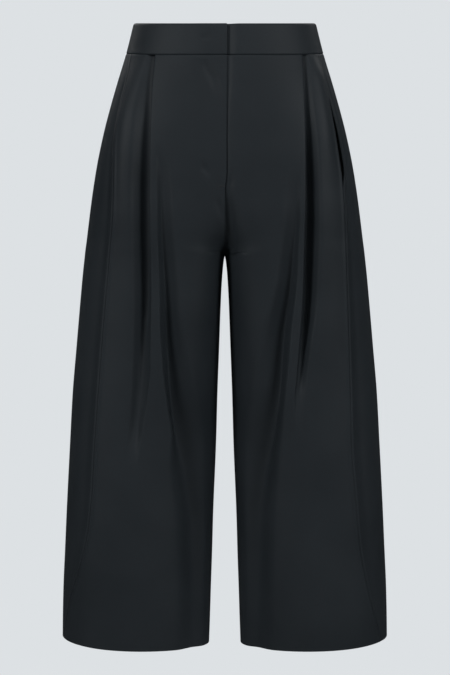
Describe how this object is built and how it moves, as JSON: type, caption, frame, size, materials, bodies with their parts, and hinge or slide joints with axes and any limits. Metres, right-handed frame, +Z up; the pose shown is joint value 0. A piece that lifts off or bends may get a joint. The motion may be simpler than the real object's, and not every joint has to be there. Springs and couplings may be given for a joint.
{
  "type": "capri pants",
  "caption": "High-waist wide-leg cropped trousers in heavy black suiting, pleated front, concealed fly, side-seam pockets, filled out and hollow.",
  "frame": {"origin": "middle of the waistband: between its sides, front and back, at half its height at the side", "axes": "+Z up, -Y the wearer's front, +X the wearer's left"},
  "size_m": [0.4615, 0.2477, 0.8849],
  "materials": {
    "suiting": "matt charcoal-black twill suiting",
    "pocketing": "matt black twill facing",
    "zip_tape": "black woven tape",
    "nickel": "nickel-plated steel"
  },
  "bodies": {
    "root": {"waistband_right": "suiting", "waistband_left": "suiting", "front_right": "suiting", "front_left": "suiting", "back_right": "suiting", "back_left": "suiting", "pocket_facing_right": "pocketing", "pocket_facing_left": "pocketing", "fly_zip": "zip_tape", "waist_hook": "nickel", "waist_bar": "nickel"}
  },
  "joints": []
}
